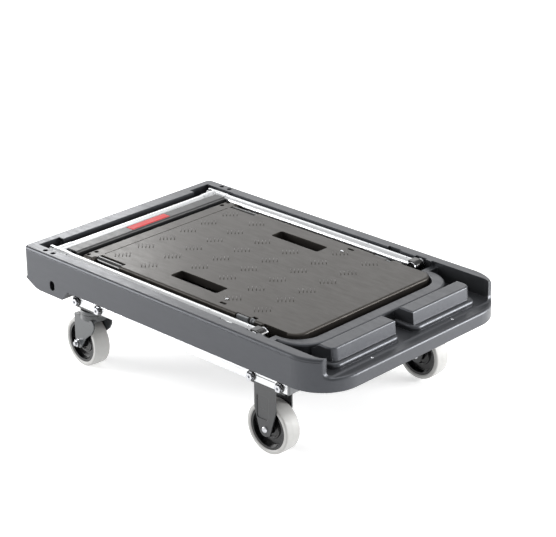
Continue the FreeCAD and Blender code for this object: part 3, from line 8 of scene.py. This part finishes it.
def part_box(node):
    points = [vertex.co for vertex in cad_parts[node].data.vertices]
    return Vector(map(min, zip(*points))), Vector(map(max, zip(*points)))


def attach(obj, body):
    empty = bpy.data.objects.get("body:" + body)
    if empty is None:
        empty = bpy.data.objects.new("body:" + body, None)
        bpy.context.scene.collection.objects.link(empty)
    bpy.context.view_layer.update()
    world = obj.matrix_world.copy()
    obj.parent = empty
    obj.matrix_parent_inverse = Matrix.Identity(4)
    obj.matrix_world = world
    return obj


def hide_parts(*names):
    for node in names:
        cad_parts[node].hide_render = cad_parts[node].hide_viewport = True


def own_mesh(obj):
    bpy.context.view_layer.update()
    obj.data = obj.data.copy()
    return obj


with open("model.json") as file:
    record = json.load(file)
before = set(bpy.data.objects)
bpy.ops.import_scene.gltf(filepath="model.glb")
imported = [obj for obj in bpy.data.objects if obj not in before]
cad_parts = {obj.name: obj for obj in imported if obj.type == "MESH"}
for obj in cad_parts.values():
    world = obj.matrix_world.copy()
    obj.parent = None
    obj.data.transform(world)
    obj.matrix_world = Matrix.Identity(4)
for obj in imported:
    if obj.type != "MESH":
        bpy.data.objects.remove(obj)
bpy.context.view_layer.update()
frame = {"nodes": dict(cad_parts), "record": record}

MM = 0.001

# ---------------------------------------------------------------- sizes of the small pieces, in mm
# Strokes on the upper deck: rows and columns of groups, left out round the hand slots
MARK_COLUMNS = 6
MARK_PITCH = 74.6
MARK_INSET = 60.0
MARK_ROWS = (-144.0, -84.0, -28.0, 28.0, 84.0, 144.0)
MARK_COUNT = 5
MARK_GAP = 7.0
MARK_LENGTH = 20.0
MARK_WIDTH = 1.8
MARK_HEIGHT = 0.4
MARK_ROOT = 0.3
MARK_FLANKS = ((0.35, 0.0), (0.85, 0.25), (1.0, 0.38))  # share of the height, share of the width cut off
HAND_SLOT_FROM = -110.0
HAND_SLOT_TO = 56.0
HAND_SLOT_INNER = 100.0

# Turned pieces: each profile holds distances along the axis with the radius there
HEAD_SIDES = 24
SHELF_RIVET_X = 374.5
SHELF_RIVET_Y = 109.0
SHELF_TOP = 196.0
RIVET_PROFILE = ((-2.0, 2.4), (0.05, 2.4), (0.1, 3.8), (0.7, 3.6), (1.3, 2.6), (1.6, 1.0))
LATCH_SCREW_X = 66.9
LATCH_SCREW_Y = 154.3
SCREW_PROFILE = ((-1.0, 2.0), (0.05, 2.0), (0.1, 3.2), (0.9, 2.9), (1.4, 1.9), (0.8, 1.2), (0.4, 0.4))
RAIL_BOLTS_X = (200.5, 269.5, -268.5, -206.5)
COLLAR_PROFILE = ((0.1, 8.2), (0.1, 10.2), (1.6, 10.2), (2.6, 9.4), (2.6, 8.2), (0.1, 8.2))
CATCH_R = 8.0
RING_PROFILE = ((-0.6, 4.9), (0.7, 4.9), (1.2, 5.7), (1.2, 6.6), (0.7, 7.4), (-0.6, 7.4), (-0.6, 4.9))
SEAM = 0.01  # points closer than this are one

# Painted shadow: black strips between the rails and the fixed forks, where there is only shade
FORK_FACE_Y = 227.2
FORK_LEG_X = 231.5
FORK_LEG_WIDTH = 51.5
FORK_SHADOW_HEIGHT = 6.0
FORK_SHADOW_GAP = 0.1
FORK_SHADOW_STEPS = ((-0.4, 0.0), (0.4, 0.0), (0.7, 0.4))  # distance out of the leg's face, inset of the outline

# Return spring of the release button
SPRING_WIRE_R = 0.6
SPRING_TURNS = 5
SPRING_STEPS = 20
SPRING_SIDES = 8

# ---------------------------------------------------------------- studio, in metres and watts
WORLD_LIGHT = 0.72
FLOOR_SIZE = 14.0
FLOOR_GLOW = 0.45
FLOOR_CLOUD = 0.0625
# Each lamp: name, place, the point it faces, side of its square, power
LAMPS = (
    ("overhead_softbox", (0.1, 0.5, 2.4), (0.0, 0.0, 0.2), 1.8, 26.0),
    ("left_softbox", (-2.3, -1.6, 0.8), (0.0, 0.0, 0.05), 1.4, 72.0),
    ("right_softbox", (2.1, 1.9, 0.5), (0.1, 0.0, 0.05), 1.3, 110.0),
    ("back_softbox", (-1.9, 2.0, 1.1), (0.0, 0.0, 0.2), 2.0, 15.0),
    ("sheen_softbox", (-1.36, 0.61, 0.80), (-0.3, -0.1, 0.23), 0.46, 3.9),
)
# The camera's angles are in degrees; its sensor width and focal length are in mm
CAMERA_EYE = (2.3273, -2.3492, 1.6269)
CAMERA_HEADING = 134.159
CAMERA_PITCH = -23.047
CAMERA_ROLL = -0.459
CAMERA_SENSOR = 36.0
CAMERA_LENS = 123.57


# ---------------------------------------------------------------- colour and node helpers
def linear(code):
    """Linear colour of an sRGB hex value."""
    channels = [int(code[i:i + 2], 16) / 255.0 for i in (0, 2, 4)]
    return tuple(c / 12.92 if c <= 0.04045 else ((c + 0.055) / 1.055) ** 2.4 for c in channels) + (1.0,)


def add(tree, kind, settings=(), links=()):
    """Adds a node with its settings and links; an input is named, or numbered where names repeat."""
    node = tree.nodes.new(kind)
    for name, value in dict(settings).items():
        if isinstance(name, int) or name in node.inputs:
            node.inputs[name].default_value = value
        else:
            setattr(node, name, value)
    for name, socket in dict(links).items():
        tree.links.new(socket, node.inputs[name])
    return node


def finish_named(name, settings):
    """A new material with its surface shader, and the row-frame coordinates that its patterns use."""
    material = bpy.data.materials.new(name)
    material.use_nodes = True
    tree = material.node_tree
    tree.nodes.clear()
    shader = add(tree, "ShaderNodeBsdfPrincipled", settings)
    add(tree, "ShaderNodeOutputMaterial", links={"Surface": shader.outputs["BSDF"]})
    place = add(tree, "ShaderNodeTexCoord").outputs["Object"]
    return material, tree, shader, place


def fineness(width):
    """Noise scale that gives features about this many mm wide."""
    return 1.0 / (width * MM)


def make_uneven(tree, shader, colours, gloss, relief):
    """Makes a finish uneven. Colours: an amount and the two close colours it wanders between. Gloss:
    an amount from about 0.3 to 0.7 and the roughness at each. Relief: a height, how deep it goes, and
    the rounding with which edges catch light, in mm."""
    cloud, dark, pale = colours
    settings = {"data_type": "RGBA", 6: linear(dark), 7: linear(pale)}
    mixed = add(tree, "ShaderNodeMix", settings, {0: cloud})
    tree.links.new(mixed.outputs[2], shader.inputs["Base Color"])
    rubbed, smooth, rough = gloss
    settings = {"From Min": 0.3, "From Max": 0.7, "To Min": smooth, "To Max": rough}
    spread = add(tree, "ShaderNodeMapRange", settings, {"Value": rubbed})
    tree.links.new(spread.outputs["Result"], shader.inputs["Roughness"])
    height, depth, edge = relief
    edges = add(tree, "ShaderNodeBevel", {"samples": 4, "Radius": edge * MM})
    links = {"Height": height, "Normal": edges.outputs["Normal"]}
    raised = add(tree, "ShaderNodeBump", {"Strength": 1.0, "Distance": depth * MM}, links)
    tree.links.new(raised.outputs["Normal"], shader.inputs["Normal"])


# ---------------------------------------------------------------- materials
def moulded_polypropylene(name, dark, pale, smooth, rough, shine, tint):
    """Injection-moulded black polypropylene with a spark-eroded skin. Its own colour is nearly black,
    so what the eye sees is a broad grey sheen of the lights, a little cloudy and rubbed along its
    length. The grain is drawn 1.6 mm wide, coarser than the real 0.3 mm, so that it shows."""
    material, tree, shader, place = finish_named(
        name, {"IOR": 1.49, "Specular IOR Level": shine, "Specular Tint": linear(tint)})
    cloud = add(tree, "ShaderNodeTexNoise", {"Scale": fineness(90.0), "Detail": 3.0}, {"Vector": place})
    along = add(tree, "ShaderNodeMapping", {"Scale": (0.25, 1.0, 1.0)}, {"Vector": place})
    rubbed = add(tree, "ShaderNodeTexNoise", {"Scale": fineness(9.0), "Detail": 4.0, "Roughness": 0.6},
                 {"Vector": along.outputs["Vector"]})
    grain = add(tree, "ShaderNodeTexNoise", {"Scale": fineness(1.6), "Detail": 2.0, "Roughness": 0.6},
                {"Vector": place})
    make_uneven(tree, shader, (cloud.outputs["Fac"], dark, pale), (rubbed.outputs["Fac"], smooth, rough),
                (grain.outputs["Fac"], 0.04, 1.4))
    return material


def moulded_nylon(name, dark, pale, smooth, rough, shine=0.5):
    """Moulded nylon, and the matt black of the painted shadow strips at the fixed forks: deep even colour,
    gloss from clear to nearly matt, and slight waviness from the mould."""
    material, tree, shader, place = finish_named(name, {"IOR": 1.53, "Specular IOR Level": shine})
    cloud = add(tree, "ShaderNodeTexNoise", {"Scale": fineness(14.0), "Detail": 2.0}, {"Vector": place})
    wave = add(tree, "ShaderNodeTexNoise", {"Scale": fineness(5.0), "Detail": 1.0}, {"Vector": place})
    make_uneven(tree, shader, (cloud.outputs["Fac"], dark, pale), (cloud.outputs["Fac"], smooth, rough),
                (wave.outputs["Fac"], 0.08, 0.6))
    return material


def soft_tread():
    """Moulded thermoplastic rubber: pale and nearly matt, with fine moulding marks round the wheel
    and a little floor dust."""
    material, tree, shader, place = finish_named("thermoplastic_rubber", {"IOR": 1.5})
    dust = add(tree, "ShaderNodeTexNoise", {"Scale": fineness(18.0), "Detail": 4.0, "Roughness": 0.6},
               {"Vector": place})
    marks = add(tree, "ShaderNodeTexNoise", {"Scale": fineness(1.2), "Detail": 2.0}, {"Vector": place})
    make_uneven(tree, shader, (dust.outputs["Fac"], "9b9a97", "adadac"), (dust.outputs["Fac"], 0.4, 0.58),
                (marks.outputs["Fac"], 0.06, 1.0))
    return material


def anodised_aluminium(name, along):
    """Extruded and satin-anodised aluminium: light grey metal with fine draw lines along its length.
    The lines are drawn 0.8 mm apart, coarser than the real ones, so that they show."""
    material, tree, shader, place = finish_named(name, {"Metallic": 1.0})
    scale = tuple(0.01 if axis == along else 1.0 for axis in "XYZ")
    drawn = add(tree, "ShaderNodeMapping", {"Scale": scale}, {"Vector": place})
    lines = add(tree, "ShaderNodeTexNoise", {"Scale": fineness(0.8), "Detail": 3.0, "Roughness": 0.7},
                {"Vector": drawn.outputs["Vector"]})
    make_uneven(tree, shader, (lines.outputs["Fac"], "bcbec0", "dadbdc"), (lines.outputs["Fac"], 0.24, 0.38),
                (lines.outputs["Fac"], 0.01, 0.5))
    return material


def cast_aluminium():
    """Die-cast and tumbled aluminium: bright, softly uneven, with a fine pebbled skin."""
    material, tree, shader, place = finish_named("die_cast_aluminium", {"Metallic": 1.0})
    lumps = add(tree, "ShaderNodeTexNoise", {"Scale": fineness(6.0), "Detail": 3.0, "Roughness": 0.6},
                {"Vector": place})
    skin = add(tree, "ShaderNodeTexNoise", {"Scale": fineness(1.0), "Detail": 2.0}, {"Vector": place})
    make_uneven(tree, shader, (lumps.outputs["Fac"], "9fa1a4", "d3d4d4"), (lumps.outputs["Fac"], 0.26, 0.42),
                (skin.outputs["Fac"], 0.08, 1.0))
    return material


def painted_steel(name, dark, pale):
    """Pressed steel with semi-gloss stove paint: slight orange peel, thin and bright on its edges."""
    settings = {"IOR": 1.5, "Coat Weight": 0.35, "Coat Roughness": 0.16}
    material, tree, shader, place = finish_named(name, settings)
    cloud = add(tree, "ShaderNodeTexNoise", {"Scale": fineness(12.0), "Detail": 3.0}, {"Vector": place})
    peel = add(tree, "ShaderNodeTexNoise", {"Scale": fineness(1.4), "Detail": 1.0}, {"Vector": place})
    make_uneven(tree, shader, (cloud.outputs["Fac"], dark, pale), (cloud.outputs["Fac"], 0.26, 0.4),
                (peel.outputs["Fac"], 0.05, 0.8))
    return material


def zinc_plate():
    """Bright zinc plate on turned and headed steel: nearly a mirror, with cloudy grey patches."""
    material, tree, shader, place = finish_named("zinc_plated_steel", {"Metallic": 1.0})
    cloud = add(tree, "ShaderNodeTexNoise", {"Scale": fineness(4.0), "Detail": 4.0, "Roughness": 0.6},
                {"Vector": place})
    make_uneven(tree, shader, (cloud.outputs["Fac"], "8f9195", "dcdde0"), (cloud.outputs["Fac"], 0.12, 0.3),
                (cloud.outputs["Fac"], 0.05, 0.4))
    return material


DECK = moulded_polypropylene(
    "moulded_polypropylene", "1d1e20", "242527", 0.33, 0.43, 0.74, "e9edf7")
# Painted reflection: the upper deck is a darker copy of the deck's finish, with less shine, brownish colours
# and a warm reflection tint, standing in for the reflection of a brown box on it
DECK_UPPER = moulded_polypropylene(
    "moulded_polypropylene_upper_deck", "1f1d1b", "272523", 0.33, 0.42, 0.34, "fff6ec")
GRIP = moulded_polypropylene(
    "moulded_grip_polypropylene", "1c1d1e", "222324", 0.38, 0.46, 0.45, "ffffff")
BLACK = moulded_nylon("black_moulded_nylon", "050506", "0b0b0c", 0.16, 0.26)
GREY = moulded_nylon("grey_moulded_nylon", "5c5e60", "6c6e70", 0.36, 0.46)
RED = moulded_nylon("red_moulded_nylon", "a00008", "b5040f", 0.42, 0.5, 0.22)
# Painted shadow: a matt black that stands for the shade in the joints between the rails and the fixed forks
SHADOW_BLACK = moulded_nylon("painted_shadow_black", "070707", "0c0c0c", 0.7, 0.85, 0.12)
TREAD = soft_tread()
TUBE_X = anodised_aluminium("anodised_aluminium_long", "X")
TUBE_Y = anodised_aluminium("anodised_aluminium_cross", "Y")
CAST = cast_aluminium()
STEEL = painted_steel("stove_painted_steel", "17181a", "202224")
FORK = painted_steel("stove_painted_fork_steel", "2b2e30", "373a3c")
ZINC = zinc_plate()

BY_SLOT = {
    "deck_plastic": DECK, "grip_plastic": GRIP, "black_plastic": BLACK, "grey_plastic": GREY,
    "red_plastic": RED, "pale_tread": TREAD, "satin_aluminium": TUBE_X, "cast_aluminium": CAST,
    "dark_painted_steel": STEEL, "zinc_steel": ZINC,
}
BY_NODE = {
    "upper_deck": DECK_UPPER, "crossbar": TUBE_Y,
    "swivel_fork_left": FORK, "swivel_fork_right": FORK,
}


def coat_cad_nodes():
    """Every CAD node gets the material of its slot, or its own where it has one."""
    slots = {entry["node"]: entry["material_slot"] for entry in frame["record"]["subparts"]}
    for name, part in frame["nodes"].items():
        material = BY_NODE.get(name, BY_SLOT[slots[name]])
        part.data.materials.clear()
        part.data.materials.append(material)
        for face in part.data.polygons:
            face.material_index = 0


coat_cad_nodes()


# ---------------------------------------------------------------- small pieces
def named_piece(name, mesh, material, body):
    """A mesh as a piece with its finish, riding on its body."""
    for face in mesh.faces:
        face.smooth = True
    data = bpy.data.meshes.new(name)
    mesh.to_mesh(data)
    mesh.free()
    data.materials.append(material)
    piece = bpy.data.objects.new(name, data)
    bpy.context.collection.objects.link(piece)
    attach(piece, body)
    return piece


def bridged(mesh, rings):
    """Skins the sides between rings that have the same number of points."""
    for near, far in zip(rings, rings[1:]):
        for step in range(len(near)):
            after = (step + 1) % len(near)
            mesh.faces.new((near[step], near[after], far[after], far[step]))


def closed_ends(mesh, rings):
    """Closes the first and the last ring with a flat face."""
    mesh.faces.new(rings[0][::-1])
    mesh.faces.new(rings[-1])


def turned(mesh, profile, centre, along, count=32):
    """Adds the sides of a turned form: profile points are (distance along the axis, radius), in mm."""
    axis = Vector(along).normalized()
    side = axis.orthogonal().normalized()
    other = axis.cross(side)
    rings = []
    for reach, radius in profile:
        ring = []
        for step in range(count):
            angle = 2.0 * math.pi * step / count
            out = side * math.cos(angle) + other * math.sin(angle)
            ring.append(mesh.verts.new((Vector(centre) + axis * reach + out * radius) * MM))
        rings.append(ring)
    bridged(mesh, rings)
    return rings


def bar(mesh, start, end, width, height, lift):
    """Adds a long low bar with sloping flanks and ends, in mm, standing on the height lift."""
    along = (Vector(end) - Vector(start)).normalized()
    across = Vector((-along.y, along.x, 0.0))
    levels = []
    flanks = [(share * height, cut * width) for share, cut in MARK_FLANKS]
    for rise, inset in [(-MARK_ROOT, 0.0)] + flanks:
        half = 0.5 * width - inset
        near = Vector(start) + along * inset
        far = Vector(end) - along * inset
        corners = (near - across * half, far - across * half, far + across * half, near + across * half)
        levels.append([mesh.verts.new(Vector((c.x, c.y, lift + rise)) * MM) for c in corners])
    bridged(mesh, levels)
    closed_ends(mesh, levels)


def grip_marks():
    """Groups of five short raised strokes on the upper deck, that stop a crate from sliding."""
    low, high = (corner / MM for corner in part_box("upper_deck"))
    mesh = bmesh.new()
    for column in range(MARK_COLUMNS):
        x = low.x + MARK_INSET + column * MARK_PITCH
        for y in MARK_ROWS:
            beside_slot = abs(y) > HAND_SLOT_INNER and HAND_SLOT_FROM < x < HAND_SLOT_TO
            if beside_slot:
                continue
            for number in range(MARK_COUNT):
                shift = (number - (MARK_COUNT - 1) / 2.0) * MARK_GAP * math.sqrt(0.5)
                middle = Vector((x + shift, y + shift, 0.0))
                reach = Vector((-1.0, 1.0, 0.0)).normalized() * MARK_LENGTH / 2.0
                bar(mesh, middle - reach, middle + reach, MARK_WIDTH, MARK_HEIGHT, high.z)
    return named_piece("grip_marks", mesh, DECK_UPPER, "upper_deck")


def shelf_rivets():
    """Bright domed rivets in the end shelf."""
    mesh = bmesh.new()
    for y in (-SHELF_RIVET_Y, SHELF_RIVET_Y):
        rings = turned(mesh, RIVET_PROFILE, (SHELF_RIVET_X, y, SHELF_TOP), (0, 0, 1), HEAD_SIDES)
        closed_ends(mesh, rings)
    return named_piece("shelf_rivets", mesh, ZINC, "base")


def latch_screws():
    """Pan-head screws beside the latch slots, with a turned dish in each head."""
    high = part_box("upper_deck")[1] / MM
    mesh = bmesh.new()
    for y in (-LATCH_SCREW_Y, LATCH_SCREW_Y):
        rings = turned(mesh, SCREW_PROFILE, (LATCH_SCREW_X, y, high.z), (0, 0, 1), HEAD_SIDES)
        closed_ends(mesh, rings)
    return named_piece("latch_screws", mesh, ZINC, "upper_deck")


def bolt_collars():
    """Black nylon cups between the rail bolts' heads and the rails."""
    low, high = (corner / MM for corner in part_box("rail_left"))
    z = (low.z + high.z) / 2.0
    mesh = bmesh.new()
    for x in RAIL_BOLTS_X:
        for side in (-1.0, 1.0):
            turned(mesh, COLLAR_PROFILE, (x, side * abs(low.y), z), (0, side, 0))
    bmesh.ops.remove_doubles(mesh, verts=mesh.verts, dist=SEAM * MM)
    return named_piece("bolt_collars", mesh, BLACK, "base")


def catch_rings():
    """Pressed steel rings at the open ends of the deck's catch barrels."""
    low, high = (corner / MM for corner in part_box("deck_catch"))
    mesh = bmesh.new()
    for side in (-1.0, 1.0):
        centre = (high.x, side * (abs(low.y) - CATCH_R), high.z - CATCH_R)
        turned(mesh, RING_PROFILE, centre, (1, 0, 0))
    bmesh.ops.remove_doubles(mesh, verts=mesh.verts, dist=SEAM * MM)
    return named_piece("catch_rings", mesh, ZINC, "upper_deck")


def fork_shadow_strips():
    """Painted shadow: black strips put where shade falls in the joint between each rail and the fixed fork
    under it.
    """
    mesh = bmesh.new()
    for node in ("fixed_fork_left", "fixed_fork_right"):
        low, high = (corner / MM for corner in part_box(node))
        side = -1.0 if low.y < 0.0 else 1.0
        face = side * FORK_FACE_Y
        x0 = FORK_LEG_X - FORK_LEG_WIDTH / 2.0
        x1 = FORK_LEG_X + FORK_LEG_WIDTH / 2.0
        levels = []
        for out, inset in FORK_SHADOW_STEPS:
            y = face + side * out
            z0 = high.z - FORK_SHADOW_HEIGHT + inset
            z1 = high.z - FORK_SHADOW_GAP - inset
            corners = ((x0 + inset, z0), (x1 - inset, z0), (x1 - inset, z1), (x0 + inset, z1))
            levels.append([mesh.verts.new(Vector((x, y, z)) * MM) for x, z in corners])
        bridged(mesh, levels)
        closed_ends(mesh, levels)
    bmesh.ops.recalc_face_normals(mesh, faces=mesh.faces)
    return named_piece("fork_shadow_strips", mesh, SHADOW_BLACK, "base")


def button_spring():
    """The return spring under the release button, wound from wire."""
    low, high = (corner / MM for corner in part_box("release_spring"))
    middle = (low + high) / 2.0
    radius = (high.x - low.x) / 2.0 - SPRING_WIRE_R
    foot = low.z + SPRING_WIRE_R
    rise = high.z - low.z - 2.0 * SPRING_WIRE_R
    steps = SPRING_TURNS * SPRING_STEPS
    mesh = bmesh.new()
    rings = []
    for step in range(steps + 1):
        angle = 2.0 * math.pi * step / SPRING_STEPS
        out = Vector((math.cos(angle), math.sin(angle), 0.0))
        centre = Vector((middle.x, middle.y, foot + rise * step / steps)) + out * radius
        ring = []
        for side in range(SPRING_SIDES):
            turn = 2.0 * math.pi * side / SPRING_SIDES
            around = out * math.cos(turn) + Vector((0.0, 0.0, math.sin(turn)))
            ring.append(mesh.verts.new((centre + around * SPRING_WIRE_R) * MM))
        rings.append(ring)
    bridged(mesh, rings)
    closed_ends(mesh, rings)
    bmesh.ops.recalc_face_normals(mesh, faces=mesh.faces)
    spring = named_piece("button_spring", mesh, ZINC, "handle_top")
    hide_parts("release_spring")
    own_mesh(spring)


grip_marks()
shelf_rivets()
latch_screws()
bolt_collars()
catch_rings()
# Painted shadow strips in the joints between the rails and the fixed forks
fork_shadow_strips()
button_spring()


# ---------------------------------------------------------------- studio
def studio():
    """White light-table floor, a soft overhead light and low lights at both sides and behind."""
    world = bpy.data.worlds.new("studio")
    world.use_nodes = True
    sky = world.node_tree.nodes["Background"]
    sky.inputs["Color"].default_value = linear("ffffff")
    sky.inputs["Strength"].default_value = WORLD_LIGHT
    bpy.context.scene.world = world
    bpy.context.scene.view_settings.view_transform = "Standard"
    bpy.ops.mesh.primitive_plane_add(size=FLOOR_SIZE, location=(0.0, 0.0, 0.0))
    floor = bpy.context.object
    floor.name = "studio_floor"
    settings = {"Roughness": 0.9, "Specular IOR Level": 0.2, "Emission Color": linear("ffffff"),
                "Emission Strength": FLOOR_GLOW}
    material, tree, shader, place = finish_named("pale_acrylic", settings)
    cloud = add(tree, "ShaderNodeTexNoise", {"Scale": 1.0 / FLOOR_CLOUD, "Detail": 3.0}, {"Vector": place})
    tones = {"data_type": "RGBA", 6: linear("fbfbfb"), 7: linear("ffffff")}
    mixed = add(tree, "ShaderNodeMix", tones, {0: cloud.outputs["Fac"]})
    tree.links.new(mixed.outputs[2], shader.inputs["Base Color"])
    floor.data.materials.append(material)
    for name, spot, aim, size, power in LAMPS:
        lamp = bpy.data.lights.new(name, "AREA")
        lamp.size = size
        lamp.energy = power
        holder = bpy.data.objects.new(name, lamp)
        bpy.context.collection.objects.link(holder)
        holder.location = spot
        holder.rotation_euler = (Vector(aim) - Vector(spot)).to_track_quat("-Z", "Y").to_euler()


def camera():
    """Long lens from beside the hinge end, looking down on the cart."""
    heading = math.radians(CAMERA_HEADING)
    pitch = math.radians(CAMERA_PITCH)
    roll = math.radians(CAMERA_ROLL)
    level = math.cos(pitch)
    ahead = Vector((math.cos(heading) * level, math.sin(heading) * level, math.sin(pitch)))
    view = bpy.data.cameras.new("camera")
    view.sensor_width = CAMERA_SENSOR
    view.lens = CAMERA_LENS
    holder = bpy.data.objects.new("camera", view)
    bpy.context.collection.objects.link(holder)
    turn = ahead.to_track_quat("-Z", "Y").to_matrix().to_4x4()
    holder.matrix_world = Matrix.Translation(CAMERA_EYE) @ turn @ Matrix.Rotation(roll, 4, "Z")
    bpy.context.scene.camera = holder


studio()
camera()
